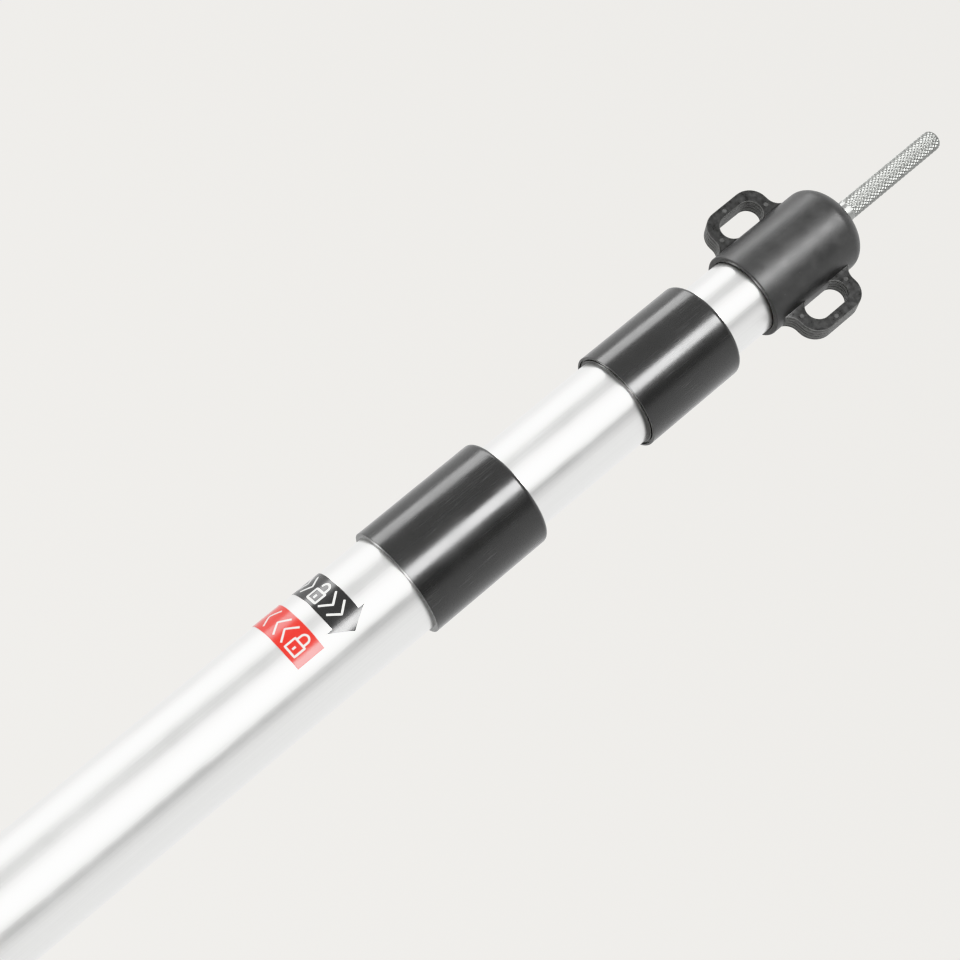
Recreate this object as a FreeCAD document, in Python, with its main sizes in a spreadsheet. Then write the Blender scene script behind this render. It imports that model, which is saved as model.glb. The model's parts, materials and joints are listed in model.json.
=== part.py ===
"""Telescopic support pole: three twist-locked tubes, a head cap with two guy-line ears and a spike.

Part frame: millimetres, +Z up the pole, origin at the centre of the foot's underside.
The ears lie along +X and -X.  The pole is built closed, each tube resting on its stop.
"""
import FreeCAD
import Part
import os
import re

import Sketcher

# Driving sizes: name, value in mm (or degrees where the note says so), what it is.
SIZES = [
    ("outer_tube_r", 14.0, "outside radius of the lowest tube"),
    ("tube_wall", 1.0, "wall of all three tubes"),
    ("tube_gap", 0.5, "gap between one tube's bore and the next tube"),
    ("outer_tube_length", 468.4, "length of the lowest tube"),
    ("middle_show", 37.6, "length of middle tube showing when the pole is closed"),
    ("inner_show", 14.5, "length of top tube showing when the pole is closed"),
    ("outer_sleeve_wall", 1.55, "wall of the sleeve on the lowest tube"),
    ("outer_sleeve_length", 37.0, "length of the sleeve on the lowest tube"),
    ("middle_sleeve_wall", 1.7, "wall of the sleeve on the middle tube"),
    ("middle_sleeve_length", 31.8, "length of the sleeve on the middle tube"),
    ("sleeve_lip", 3.0, "thickness of the lip that covers a tube's end"),
    ("sleeve_round", 1.4, "rounding of a sleeve's top edge"),
    ("slide_gap", 0.2, "gap between a sleeve's lip and the tube that slides in it"),
    ("foot_floor", 6.0, "rubber under the lowest tube"),
    ("foot_wall", 3.5, "rubber around the lowest tube"),
    ("foot_height", 38.0, "height of the rubber foot"),
    ("foot_round", 2.0, "rounding of the foot's bottom edge"),
    ("foot_lip", 1.2, "bevel at the foot's top edge"),
    ("tread_r", 8.0, "inside radius of the groove in the foot's underside"),
    ("tread_width", 2.5, "width of that groove"),
    ("tread_depth", 1.5, "depth of that groove"),
    ("foot_plug_length", 26.0, "length of the plug inside the lowest tube"),
    ("stop_gap", 0.2, "gap between a lock's stud and the stop under it"),
    ("plug_depth", 18.0, "length of a lock's plug inside its tube"),
    ("collar_height", 3.0, "collar of that plug under the tube's end"),
    ("stud_r", 3.5, "radius of a lock's threaded stud"),
    ("hex_flats", 11.0, "width across flats of the stud's head and end nut"),
    ("head_height", 4.0, "height of the stud's head"),
    ("nut_height", 5.0, "height of the end nut"),
    ("nut_rise", 2.0, "length of stud below the end nut"),
    ("turn_gap", 0.3, "end gap between a lock's turning and still pieces"),
    ("bearing_fit", 0.05, "radial running clearance on the stud and in the tube"),
    ("guide_height", 6.0, "height of a lock's guide ring"),
    ("lug_height", 3.0, "height of the guide ring's lugs"),
    ("lug_width", 2.6, "width of the lugs and of the cone nut's wings"),
    ("lug_inset", 1.4, "from the tube's bore in to a lug's or a wing's tip"),
    ("shoe_drop", 0.5, "gap between the guide ring and the shoes"),
    ("shoe_wall", 2.4, "wall of a shoe at the cone nut's wide end"),
    ("shoe_skirt", 1.8, "from the cone nut's wide end down to the shoes' bottom"),
    ("shoe_split", 2.1, "half of the slot between a lock's two shoes"),
    ("nut_wall", 1.7, "wall of the cone nut at its small end"),
    ("nut_travel", 2.0, "how far the cone nut moves when the lock opens"),
    ("cone_angle", 12.0, "half angle of the cone nut, in degrees"),
    ("cone_drop", 4.2, "from the shoes' top down to the cone nut's small end"),
    ("wing_drop", 3.0, "from the cone nut's small end down to its wings"),
    ("cap_wall", 1.7, "wall of the head cap around the top tube"),
    ("cap_socket", 27.5, "depth of the head cap's socket on the top tube"),
    ("cap_roof", 8.4, "height of the head cap above its socket"),
    ("dome_rise", 3.52, "height of the bevel under the dome's rounding"),
    ("dome_run", 5.27, "width of the bevel under the dome's rounding"),
    ("dome_side_round", 4.5, "rounding from the cap's side to the dome"),
    ("dome_top_round", 10.0, "rounding from the dome to its flat top"),
    ("ear_low", 5.05, "from the cap's rim up to the ears' lower edge"),
    ("ear_side_rim", 3.3, "width of an ear's rim above and below its slot"),
    ("ear_tip_rim", 2.95, "width of an ear's rim outside its slot"),
    ("ear_plate", 5.3, "thickness of the ears"),
    ("ear_root_inset", 0.7, "how far the ears' root lies inside the cap"),
    ("ear_root_margin", 4.2, "how far the root runs past the ears' edges"),
    ("ear_corner", 5.5, "corner rounding of the ears"),
    ("ear_root_round", 4.0, "rounding where the ears meet the cap"),
    ("slot_height", 13.5, "length of an ear's slot"),
    ("slot_width", 7.1, "width of an ear's slot"),
    ("slot_sink", 0.35, "how far a slot's cut runs into the cap before the cap closes it"),
    ("spike_r", 3.0, "radius of the spike"),
    ("shank_step", 0.5, "how much slimmer the spike is inside the cap and the head plug"),
    ("spike_reach", 39.2, "height of the spike above the cap"),
    ("spike_chamfer", 0.6, "chamfer of the spike's tip"),
    ("flange_step", 3.0, "how far the spike's flange stands out"),
    ("flange_height", 3.0, "height of the spike's flange"),
    ("tail_length", 13.0, "length of the spike's tail"),
    ("plug_floor", 5.0, "depth of head plug below the spike's tail"),
    ("label_sheet", 0.2, "thickness of a label"),
    ("label_width", 8.2, "width of a label"),
    ("arrow_width", 12.4, "width of the arrowhead of the upper label"),
    ("move_label_drop", 17.8, "from the sleeve down to the upper label's middle"),
    ("lock_label_drop", 30.1, "from the sleeve down to the lower label's middle"),
    ("label_turn", -15.1, "turn of the labels about the pole, in degrees"),
    ("label_start", -75.0, "where both labels start, in degrees from their middle"),
    ("arrow_base", 24.6, "where the arrowhead starts, in degrees"),
    ("arrow_tip", 40.3, "where the arrowhead ends, in degrees"),
    ("lock_label_end", 34.0, "where the lower label ends, in degrees"),
]
CELLS = {name: f"Dims.{name}" for name, value, note in SIZES}

# Radii that follow from the driving sizes.
OUTER_BORE = "(outer_tube_r - tube_wall)"
MIDDLE_TUBE_R = f"({OUTER_BORE} - tube_gap)"
MIDDLE_BORE = f"({MIDDLE_TUBE_R} - tube_wall)"
INNER_TUBE_R = f"({MIDDLE_BORE} - tube_gap)"
INNER_BORE = f"({INNER_TUBE_R} - tube_wall)"
CAP_R = f"({INNER_TUBE_R} + cap_wall)"
CONE_TOP_R = "(stud_r + nut_wall)"
SHANK_R = "(spike_r - shank_step)"

# Heights in a lock, from the end of its tube (downwards is negative).
GUIDE_TOP = "(-collar_height - turn_gap)"
GUIDE_BOTTOM = f"({GUIDE_TOP} - guide_height)"
SHOE_TOP = f"({GUIDE_BOTTOM} - shoe_drop)"
CONE_TOP = f"({SHOE_TOP} - cone_drop)"


def cone_bottom_r(tube_bore):
    """Radius of the cone nut's wide end, in a tube of that bore."""
    return f"({tube_bore} - shoe_wall)"


def cone_bottom(tube_bore):
    """Height of the cone nut's wide end: the taper runs until it has filled the bore."""
    return f"({CONE_TOP} - ({cone_bottom_r(tube_bore)} - {CONE_TOP_R}) / tan(cone_angle))"


def end_nut_top(tube_bore):
    """Height of the end nut's top, clear of the cone nut when the lock is open."""
    return f"({cone_bottom(tube_bore)} - nut_travel - turn_gap)"


def stud_end(tube_bore):
    """Height of the stud's lower end."""
    return f"({end_nut_top(tube_bore)} - nut_height - nut_rise)"


# Heights that follow from the driving sizes.
CAP_HEIGHT = "(cap_socket + cap_roof)"
OUTER_TOP = "(foot_floor + outer_tube_length + sleeve_lip)"
MIDDLE_TOP = f"({OUTER_TOP} + middle_show + middle_sleeve_length)"
MIDDLE_TUBE_Z = f"(foot_floor + foot_plug_length + stop_gap - {stud_end(OUTER_BORE)})"
MIDDLE_TUBE_LENGTH = f"({MIDDLE_TOP} - sleeve_lip - {MIDDLE_TUBE_Z})"
CAP_Z = f"({MIDDLE_TOP} + inner_show)"
INNER_TUBE_Z = f"({MIDDLE_TUBE_Z} + plug_depth + stop_gap - {stud_end(MIDDLE_BORE)})"
INNER_TUBE_LENGTH = f"({CAP_Z} + cap_socket - {INNER_TUBE_Z})"

doc = FreeCAD.newDocument("support_pole")
sheet = doc.addObject("Spreadsheet::Sheet", "Dims")


def fill_sheet():
    """One row per driving size: its name, its value and what it is."""
    for row, (name, value, note) in enumerate(SIZES, start=1):
        sheet.set(f"A{row}", f"'{name}")
        sheet.set(f"B{row}", str(value))
        sheet.set(f"C{row}", f"'{note}")
        sheet.setAlias(f"B{row}", name)
    doc.recompute()


def in_sheet(text):
    """The same sum, with every size's name pointing at its cell."""
    return re.sub(r"[a-z_]+", lambda word: CELLS.get(word.group(), word.group()), text)


def number(text):
    """The present value of a sum."""
    return float(sheet.evalExpression(in_sheet(text)))


def bind(item, prop, text):
    """Ties one property of an object to a sum over the sheet."""
    item.setExpression(prop, in_sheet(text))


def new_body(name, height="0"):
    """An empty body that carries a sub-part's name, standing at the given height."""
    body = doc.addObject("PartDesign::Body", name)
    body.Label = name
    bind(body, "Placement.Base.z", height)
    return body


def new_sketch(body, name, plane):
    """A sketch on one of the body's own origin planes."""
    sketch = body.newObject("Sketcher::SketchObject", name)
    support = [item for item in body.Origin.OriginFeatures if item.Role == plane]
    sketch.AttachmentSupport = [(support[0], "")]
    sketch.MapMode = "FlatFace"
    return sketch


def pin_point(sketch, tag, geometry, point, across, up):
    """Holds one point of a sketch at two sums over the sheet."""
    for kind, text in (("DistanceX", across), ("DistanceY", up)):
        index = sketch.addConstraint(Sketcher.Constraint(kind, -1, 1, geometry, point, number(text)))
        sketch.renameConstraint(index, f"{kind}_{tag}")
        bind(sketch, f"Constraints.{kind}_{tag}", text)


def polygon(body, name, plane, corners):
    """A closed outline whose corners are pairs of sums over the sheet."""
    sketch = new_sketch(body, name, plane)
    places = [FreeCAD.Vector(number(across), number(up), 0) for across, up in corners]
    count = len(places)
    for index in range(count):
        sketch.addGeometry(Part.LineSegment(places[index], places[(index + 1) % count]))
    for index in range(count):
        sketch.addConstraint(Sketcher.Constraint("Coincident", index, 2, (index + 1) % count, 1))
    for index, (across, up) in enumerate(corners):
        pin_point(sketch, str(index), index, 1, across, up)
    return sketch


def circle(sketch, radius):
    """A circle about the sketch's origin."""
    normal = FreeCAD.Vector(0, 0, 1)
    index = sketch.addGeometry(Part.Circle(FreeCAD.Vector(0, 0, 0), normal, number(radius)))
    sketch.addConstraint(Sketcher.Constraint("Coincident", index, 3, -1, 1))
    size = sketch.addConstraint(Sketcher.Constraint("Radius", index, number(radius)))
    sketch.renameConstraint(size, f"radius_{index}")
    bind(sketch, f"Constraints.radius_{index}", radius)


def turned(body, corners, name="turned"):
    """A solid of revolution about the pole's axis; corners are (radius, height)."""
    sketch = polygon(body, name + "_profile", "XZ_Plane", corners)
    feature = body.newObject("PartDesign::Revolution", name)
    feature.Profile = sketch
    feature.ReferenceAxis = (sketch, ["V_Axis"])
    feature.Angle = 360
    doc.recompute()
    return feature


def ring_profile(inside, outside, low, high):
    """The four corners of a plain ring."""
    return [(inside, low), (outside, low), (outside, high), (inside, high)]


def pad(body, sketch, length, name, midplane=False):
    """Adds the sketch's outline, to one side of its plane or evenly to both."""
    feature = body.newObject("PartDesign::Pad", name)
    feature.Profile = sketch
    bind(feature, "Length", length)
    feature.Midplane = midplane
    doc.recompute()
    return feature


def pocket(body, sketch, name, midplane=False, reverse=False):
    """Cuts the sketch's outline right through; a cut that removes nothing is an error."""
    before = body.Shape.Volume
    feature = body.newObject("PartDesign::Pocket", name)
    feature.Profile = sketch
    feature.Type = "ThroughAll"
    feature.Midplane = midplane
    feature.Reversed = reverse
    doc.recompute()
    if body.Shape.Volume > before - 1e-3:
        raise RuntimeError(f"{body.Label}: {name} cuts nothing")
    return feature


def bore(body, radius, name="bore"):
    """A round hole right through, along the axis."""
    sketch = new_sketch(body, name + "_outline", "XY_Plane")
    circle(sketch, radius)
    pocket(body, sketch, name, midplane=True)


def soften(body, base, radius, chosen, name, kind="Fillet"):
    """Rounds or bevels those edges of a feature that the test picks."""
    picked = [f"Edge{index}" for index, edge in enumerate(base.Shape.Edges, start=1) if chosen(edge)]
    if not picked:
        raise RuntimeError(f"{body.Label}: {name} finds no edge")
    feature = body.newObject(f"PartDesign::{kind}", name)
    feature.Base = (base, picked)
    bind(feature, "Radius" if kind == "Fillet" else "Size", radius)
    doc.recompute()
    return feature


def ring_edge(radius, height):
    """A test for the circular edge of that radius at that height."""
    def test(edge):
        curve = edge.Curve
        if not isinstance(curve, Part.Circle):
            return False
        return abs(curve.Radius - number(radius)) < 1e-4 and abs(curve.Center.z - number(height)) < 1e-4
    return test


def cross_edge(across, up):
    """A test for the straight edge along Y at those distances, on either side of the pole."""
    def test(edge):
        box = edge.BoundBox
        if box.XLength > 1e-4 or box.ZLength > 1e-4 or box.YLength < 1:
            return False
        return abs(abs(box.XMin) - number(across)) < 1e-3 and abs(box.ZMin - number(up)) < 1e-3
    return test


def hexagon(flats):
    """The corners of a hexagon of that width across flats."""
    corner = f"{flats} / 2 / cos(30)"
    return [(f"{corner} * cos({turn})", f"{corner} * sin({turn})") for turn in range(0, 360, 60)]


def lift(sketch, height):
    """Moves a sketch up from its plane."""
    bind(sketch, "AttachmentOffset.Base.z", height)


def make_tube(name, radius, height, length):
    """A plain drawn tube."""
    body = new_body(name, height)
    turned(body, ring_profile(f"{radius} - tube_wall", radius, "0", length))


def make_sleeve(name, wall, length, tube, next_tube, top):
    """A sleeve pressed over a tube's end, with a lip that guides the next tube."""
    body = new_body(name, f"{top} - {length}")
    outside = f"{tube} + {wall}"
    shoulder = f"{length} - sleeve_lip"
    lip = f"{next_tube} + slide_gap"
    corners = [(tube, "0"), (outside, "0"), (outside, length), (lip, length), (lip, shoulder),
               (tube, shoulder)]
    shell = turned(body, corners)
    soften(body, shell, "sleeve_round", ring_edge(outside, length), "top_edge")


def make_foot():
    """The rubber foot and the plug in the lowest tube that the middle section rests on."""
    body = new_body("foot_cap")
    outside = "outer_tube_r + foot_wall"
    groove = "tread_r + tread_width"
    corners = [("0", "0"), ("tread_r", "0"), ("tread_r", "tread_depth"), (groove, "tread_depth"),
               (groove, "0"), (outside, "0"), (outside, "foot_height"), ("outer_tube_r", "foot_height"),
               ("outer_tube_r", "foot_floor"), ("0", "foot_floor")]
    shell = turned(body, corners)
    low_edge = soften(body, shell, "foot_round", ring_edge(outside, "0"), "low_edge")
    soften(body, low_edge, "foot_lip", ring_edge(outside, "foot_height"), "top_edge", kind="Chamfer")

    plug = new_body("foot_plug", "foot_floor")
    turned(plug, ring_profile("0", OUTER_BORE, "0", "foot_plug_length"))


def make_label(name, drop, outline):
    """A thin label bent around the lowest tube, cut from a flat outline seen from its middle."""
    body = new_body(name, f"{OUTER_TOP} - outer_sleeve_length - {drop}")
    body.Placement.Rotation = FreeCAD.Rotation(FreeCAD.Vector(0, 0, 1), 1)
    bind(body, "Placement.Rotation.Angle", "label_turn")
    outside = "outer_tube_r + label_sheet"
    pad(body, polygon(body, "outline", "XZ_Plane", outline), "outer_tube_r + 2", "blank")
    bore(body, "outer_tube_r")
    rest = new_sketch(body, "rest_outline", "XY_Plane")
    circle(rest, outside)
    circle(rest, "outer_tube_r * 3")
    pocket(body, rest, "rest", midplane=True)


def around(angle):
    """How far across a point of the labels' face lies, at that angle around the tube."""
    return f"(outer_tube_r + label_sheet) * sin({angle})"


def make_labels():
    """The upper label, with an arrowhead, and the plain lower one."""
    start, base, tip = around("label_start"), around("arrow_base"), around("arrow_tip")
    arrow = [(start, "-label_width / 2"), (base, "-label_width / 2"), (base, "-arrow_width / 2"),
             (tip, "0"), (base, "arrow_width / 2"), (base, "label_width / 2"), (start, "label_width / 2")]
    make_label("move_label", "move_label_drop", arrow)
    end = around("lock_label_end")
    plain = [(start, "-label_width / 2"), (end, "-label_width / 2"), (end, "label_width / 2"),
             (start, "label_width / 2")]
    make_label("lock_label", "lock_label_drop", plain)


def make_lock(prefix, tube, tube_end, tube_bore):
    """One twist lock, hung under a tube's end inside the next larger tube's bore."""
    make_lock_plug(f"{prefix}_lock_plug", tube, tube_end)
    make_stud(f"{prefix}_lock_stud", tube_end, tube_bore)
    make_end_nut(f"{prefix}_end_nut", tube_end, tube_bore)
    make_guide(f"{prefix}_guide_ring", tube_end, tube_bore)
    make_cone_nut(f"{prefix}_cone_nut", tube_end, tube_bore)
    for side, direction in (("front", -1), ("back", 1)):
        make_shoe(f"{prefix}_shoe_{side}", tube_end, tube_bore, direction)


def make_lock_plug(name, tube, tube_end):
    """The plug in the tube's end, with a hexagonal seat for the stud's head."""
    body = new_body(name, tube_end)
    inside = f"{tube} - tube_wall"
    turned(body, [("stud_r", "-collar_height"), (tube, "-collar_height"), (tube, "0"), (inside, "0"),
                  (inside, "plug_depth"), ("stud_r", "plug_depth")])
    seat = polygon(body, "seat_outline", "XY_Plane", hexagon("hex_flats"))
    lift(seat, "plug_depth - head_height")
    pocket(body, seat, "seat", reverse=True)


def make_stud(name, tube_end, tube_bore):
    """The threaded stud and its hexagonal head."""
    body = new_body(name, tube_end)
    under_head = "plug_depth - head_height"
    turned(body, ring_profile("0", "stud_r", stud_end(tube_bore), under_head))
    head = polygon(body, "head_outline", "XY_Plane", hexagon("hex_flats"))
    lift(head, under_head)
    pad(body, head, "head_height", "head")


def make_end_nut(name, tube_end, tube_bore):
    """The nut that closes the stud's lower end."""
    body = new_body(name, tube_end)
    outline = polygon(body, "outline", "XY_Plane", hexagon("hex_flats"))
    lift(outline, f"{end_nut_top(tube_bore)} - nut_height")
    pad(body, outline, "nut_height", "block")
    bore(body, "stud_r")


def cross_bar(body, name, tube_bore, low, high):
    """A bar along X that reaches almost to the tube's bore on both sides."""
    reach = f"({tube_bore} - lug_inset)"
    outline = polygon(body, name + "_outline", "XZ_Plane",
                      [(f"-{reach}", low), (reach, low), (reach, high), (f"-{reach}", high)])
    return pad(body, outline, "lug_width", name, midplane=True)


def make_guide(name, tube_end, tube_bore):
    """The ring that drags on the tube's bore, with two lugs that hold the shoes from turning."""
    body = new_body(name, tube_end)
    cross_bar(body, "lugs", tube_bore, f"{GUIDE_BOTTOM} - lug_height", GUIDE_BOTTOM)
    turned(body, ring_profile("0", f"{tube_bore} - bearing_fit", GUIDE_BOTTOM, GUIDE_TOP))
    lug_gap = new_sketch(body, "lug_gap_outline", "XY_Plane")
    circle(lug_gap, CONE_TOP_R)
    lift(lug_gap, GUIDE_BOTTOM)
    pocket(body, lug_gap, "lug_gap")
    bore(body, "stud_r + bearing_fit")


def make_cone_nut(name, tube_end, tube_bore):
    """The tapered nut that climbs the stud; its wings run in the slot between the shoes."""
    body = new_body(name, tube_end)
    low = cone_bottom(tube_bore)
    cross_bar(body, "wings", tube_bore, low, f"{CONE_TOP} - wing_drop")
    turned(body, [("0", low), (cone_bottom_r(tube_bore), low), (CONE_TOP_R, CONE_TOP), ("0", CONE_TOP)])
    bore(body, "stud_r + bearing_fit")


def make_shoe(name, tube_end, tube_bore, direction):
    """Half of a tapered collar, which the cone nut presses against the tube's bore."""
    body = new_body(name, tube_end)
    bottom = f"({cone_bottom(tube_bore)} - shoe_skirt)"
    wide = f"{cone_bottom_r(tube_bore)} + bearing_fit + shoe_skirt * tan(cone_angle)"
    narrow = f"{CONE_TOP_R} + bearing_fit - cone_drop * tan(cone_angle)"
    outside = f"{tube_bore} - bearing_fit"
    turned(body, [(narrow, SHOE_TOP), (outside, SHOE_TOP), (outside, bottom), (wide, bottom)])
    far = f"{-direction} * {tube_bore} * 2"
    near = f"{direction} * shoe_split"
    left, right = f"-{tube_bore} * 2", f"{tube_bore} * 2"
    other_half = polygon(body, "other_half_outline", "XY_Plane",
                         [(left, far), (right, far), (right, near), (left, near)])
    pocket(body, other_half, "other_half", midplane=True)


def slot_outline(body):
    """The round-ended slots of both ears, in one sketch."""
    sketch = new_sketch(body, "slot_outline", "XZ_Plane")
    end_r = "slot_width / 2"
    middle = "ear_low + ear_side_rim + slot_height / 2"
    straight = f"(slot_height / 2 - {end_r})"
    for side, sign in (("left", "-"), ("right", "")):
        centre_x = f"{sign}({CAP_R} - slot_sink + {end_r})"
        first = len(sketch.Geometry)
        radius = number(end_r)
        top = FreeCAD.Vector(number(centre_x), number(f"{middle} + {straight}"), 0)
        low = FreeCAD.Vector(number(centre_x), number(f"{middle} - {straight}"), 0)
        aside = FreeCAD.Vector(radius, 0, 0)
        normal = FreeCAD.Vector(0, 0, 1)
        sketch.addGeometry(Part.ArcOfCircle(Part.Circle(top, normal, radius), 0, 3.141592653589793))
        sketch.addGeometry(Part.LineSegment(top - aside, low - aside))
        sketch.addGeometry(Part.ArcOfCircle(Part.Circle(low, normal, radius), 3.141592653589793, 0))
        sketch.addGeometry(Part.LineSegment(low + aside, top + aside))
        for index in range(4):
            after = first + (index + 1) % 4
            sketch.addConstraint(Sketcher.Constraint("Tangent", first + index, 2, after, 1))
        pin_point(sketch, f"{side}_top", first, 3, centre_x, f"{middle} + {straight}")
        pin_point(sketch, f"{side}_low", first + 2, 3, centre_x, f"{middle} - {straight}")
        size = sketch.addConstraint(Sketcher.Constraint("Radius", first, radius))
        sketch.renameConstraint(size, f"radius_{side}")
        bind(sketch, f"Constraints.radius_{side}", end_r)
    return sketch


def make_head_cap():
    """The domed cap on the top tube, with a slotted ear on each side."""
    body = new_body("head_cap", CAP_Z)
    root = f"({CAP_R} - ear_root_inset)"
    reach = f"({CAP_R} - slot_sink + slot_width + ear_tip_rim)"
    low, high = "ear_low", "(ear_low + slot_height + 2 * ear_side_rim)"
    root_low, root_high = f"({low} - ear_root_margin)", f"({high} + ear_root_margin)"
    right = [(root, root_low), (root, low), (reach, low), (reach, high), (root, high), (root, root_high)]
    left = [(f"-{across}", up) for across, up in reversed(right)]
    outline = polygon(body, "ear_outline", "XZ_Plane", right + left)
    plate = pad(body, outline, "ear_plate", "ears", midplane=True)
    roundings = (("ear_corners", reach, "ear_corner"), ("ear_roots", root, "ear_root_round"))
    for name, across, radius in roundings:
        tests = [cross_edge(across, low), cross_edge(across, high)]
        plate = soften(body, plate, radius, lambda edge: any(test(edge) for test in tests), name)
    pocket(body, slot_outline(body), "slots", midplane=True)

    shoulder = f"{CAP_HEIGHT} - dome_rise"
    crown = f"{CAP_R} - dome_run"
    corners = [("0", "0"), (CAP_R, "0"), (CAP_R, shoulder), (crown, CAP_HEIGHT), ("0", CAP_HEIGHT)]
    dome = turned(body, corners, "dome")
    dome = soften(body, dome, "dome_side_round", ring_edge(CAP_R, shoulder), "dome_side")
    soften(body, dome, "dome_top_round", ring_edge(crown, CAP_HEIGHT), "dome_top")

    socket = new_sketch(body, "socket_outline", "XY_Plane")
    circle(socket, INNER_TUBE_R)
    lift(socket, "cap_socket")
    pocket(body, socket, "socket")
    bore(body, SHANK_R, "spike_hole")


def make_spike():
    """The steel spike, moulded into the cap's roof, and the plug that holds its tail."""
    under_cap = f"{CAP_Z} + cap_socket"
    body = new_body("spike", under_cap)
    tip = "(cap_roof + spike_reach)"
    tail_end = "-flange_height - tail_length"
    flange_r = "spike_r + flange_step"
    turned(body, [("0", tail_end), (SHANK_R, tail_end), (SHANK_R, "-flange_height"),
                  (flange_r, "-flange_height"), (flange_r, "0"), (SHANK_R, "0"), (SHANK_R, "cap_roof"),
                  ("spike_r", "cap_roof"), ("spike_r", f"{tip} - spike_chamfer"),
                  ("spike_r - spike_chamfer", tip), ("0", tip)])

    plug = new_body("head_plug", f"{under_cap} - flange_height")
    bottom = "-tail_length - plug_floor"
    turned(plug, [("0", bottom), (INNER_BORE, bottom), (INNER_BORE, "0"), (SHANK_R, "0"),
                  (SHANK_R, "-tail_length"), ("0", "-tail_length")])


def check_objects():
    """Stops if any object failed to compute or any sub-part isn't a sound solid."""
    for item in doc.Objects:
        if "Invalid" in item.State or "Error" in item.State:
            raise RuntimeError(f"{item.Label} failed: {item.State}")
    for body in bodies():
        if body.Shape.isNull() or not body.Shape.isValid() or not body.Shape.Solids:
            raise RuntimeError(f"{body.Label} is not a valid solid")


def bodies():
    """Every sub-part of the document."""
    return [item for item in doc.Objects if item.TypeId == "PartDesign::Body"]


def write_steps():
    """One STEP file for each sub-part."""
    os.makedirs("parts", exist_ok=True)
    for body in bodies():
        body.Shape.exportStep(f"parts/{body.Label}.step")
        print(f"{body.Label:22s} {body.Shape.Volume:10.1f} mm3")


def main():
    fill_sheet()
    make_foot()
    make_tube("outer_tube", "outer_tube_r", "foot_floor", "outer_tube_length")
    make_sleeve("outer_sleeve", "outer_sleeve_wall", "outer_sleeve_length", "outer_tube_r", MIDDLE_TUBE_R,
                OUTER_TOP)
    make_labels()
    make_tube("middle_tube", MIDDLE_TUBE_R, MIDDLE_TUBE_Z, MIDDLE_TUBE_LENGTH)
    make_sleeve("middle_sleeve", "middle_sleeve_wall", "middle_sleeve_length", MIDDLE_TUBE_R, INNER_TUBE_R,
                MIDDLE_TOP)
    make_lock("lower", MIDDLE_TUBE_R, MIDDLE_TUBE_Z, OUTER_BORE)
    make_tube("inner_tube", INNER_TUBE_R, INNER_TUBE_Z, INNER_TUBE_LENGTH)
    make_lock("upper", INNER_TUBE_R, INNER_TUBE_Z, MIDDLE_BORE)
    make_head_cap()
    make_spike()
    doc.recompute()
    check_objects()
    write_steps()


main()
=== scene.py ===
"""Looks of the telescopic support pole: smooth tubes, sleeves, cap, knurled spike, labels and foot."""
import json
import math

import bmesh
import bpy
from bpy.props import FloatProperty, FloatVectorProperty, IntProperty, PointerProperty
from mathutils import Matrix, Vector


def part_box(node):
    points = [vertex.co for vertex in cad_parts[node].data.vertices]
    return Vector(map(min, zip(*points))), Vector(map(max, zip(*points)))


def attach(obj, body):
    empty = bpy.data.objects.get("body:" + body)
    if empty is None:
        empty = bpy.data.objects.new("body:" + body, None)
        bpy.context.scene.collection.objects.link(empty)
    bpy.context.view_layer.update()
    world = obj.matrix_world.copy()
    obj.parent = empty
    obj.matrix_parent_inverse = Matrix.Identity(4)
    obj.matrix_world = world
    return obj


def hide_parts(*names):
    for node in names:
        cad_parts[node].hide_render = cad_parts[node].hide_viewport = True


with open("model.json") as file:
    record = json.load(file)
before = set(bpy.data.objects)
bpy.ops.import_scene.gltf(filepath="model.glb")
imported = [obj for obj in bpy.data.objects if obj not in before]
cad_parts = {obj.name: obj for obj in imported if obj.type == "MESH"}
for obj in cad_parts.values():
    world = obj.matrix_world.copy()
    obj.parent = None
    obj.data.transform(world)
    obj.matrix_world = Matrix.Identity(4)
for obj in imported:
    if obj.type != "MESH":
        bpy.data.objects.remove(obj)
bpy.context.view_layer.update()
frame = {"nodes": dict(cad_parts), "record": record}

bl_info = {
    "name": "Support Pole Maker",
    "version": (1, 0, 0),
    "blender": (4, 5, 0),
    "location": "View3D > Sidebar > Pole",
    "description": "Dresses the packed telescopic pole with finished surfaces",
    "category": "Object",
}

MM = 0.001
CAP_STEP = 1.3 * MM          # the head cap's radius is this much less than the lowest tube's
LABEL_FRONT = math.atan2(-426.2, 113.1)   # direction of the labels' zero, in radians about the pole
TUBE_NODES = ("outer_tube", "middle_tube", "inner_tube")
SLEEVE_NODES = ("outer_sleeve", "middle_sleeve")


# ---------------------------------------------------------------- the frame

def base_z(node):
    """Height of a node's lowest point."""
    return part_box(node)[0].z


def top_z(node):
    """Height of a node's highest point."""
    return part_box(node)[1].z


def radius_of(node):
    """Outside radius of a node that is round about the pole's axis."""
    low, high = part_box(node)
    return (high.x - low.x) / 2


def body_of(node):
    """The body that a CAD node belongs to."""
    for name, nodes in frame["record"]["behaviour"]["bodies"].items():
        if node in nodes:
            return name
    raise KeyError(node)


def slot_of(node):
    """The record's material slot of a CAD node."""
    for entry in frame["record"]["subparts"]:
        if entry["node"] == node:
            return entry["material_slot"]
    raise KeyError(node)


# ---------------------------------------------------------------- meshes

def stand_in_for(piece, node):
    """Puts a finished piece in a CAD node's place: hides the node and joins the piece to the same body."""
    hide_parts(node)
    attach(piece, body_of(node))


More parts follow.
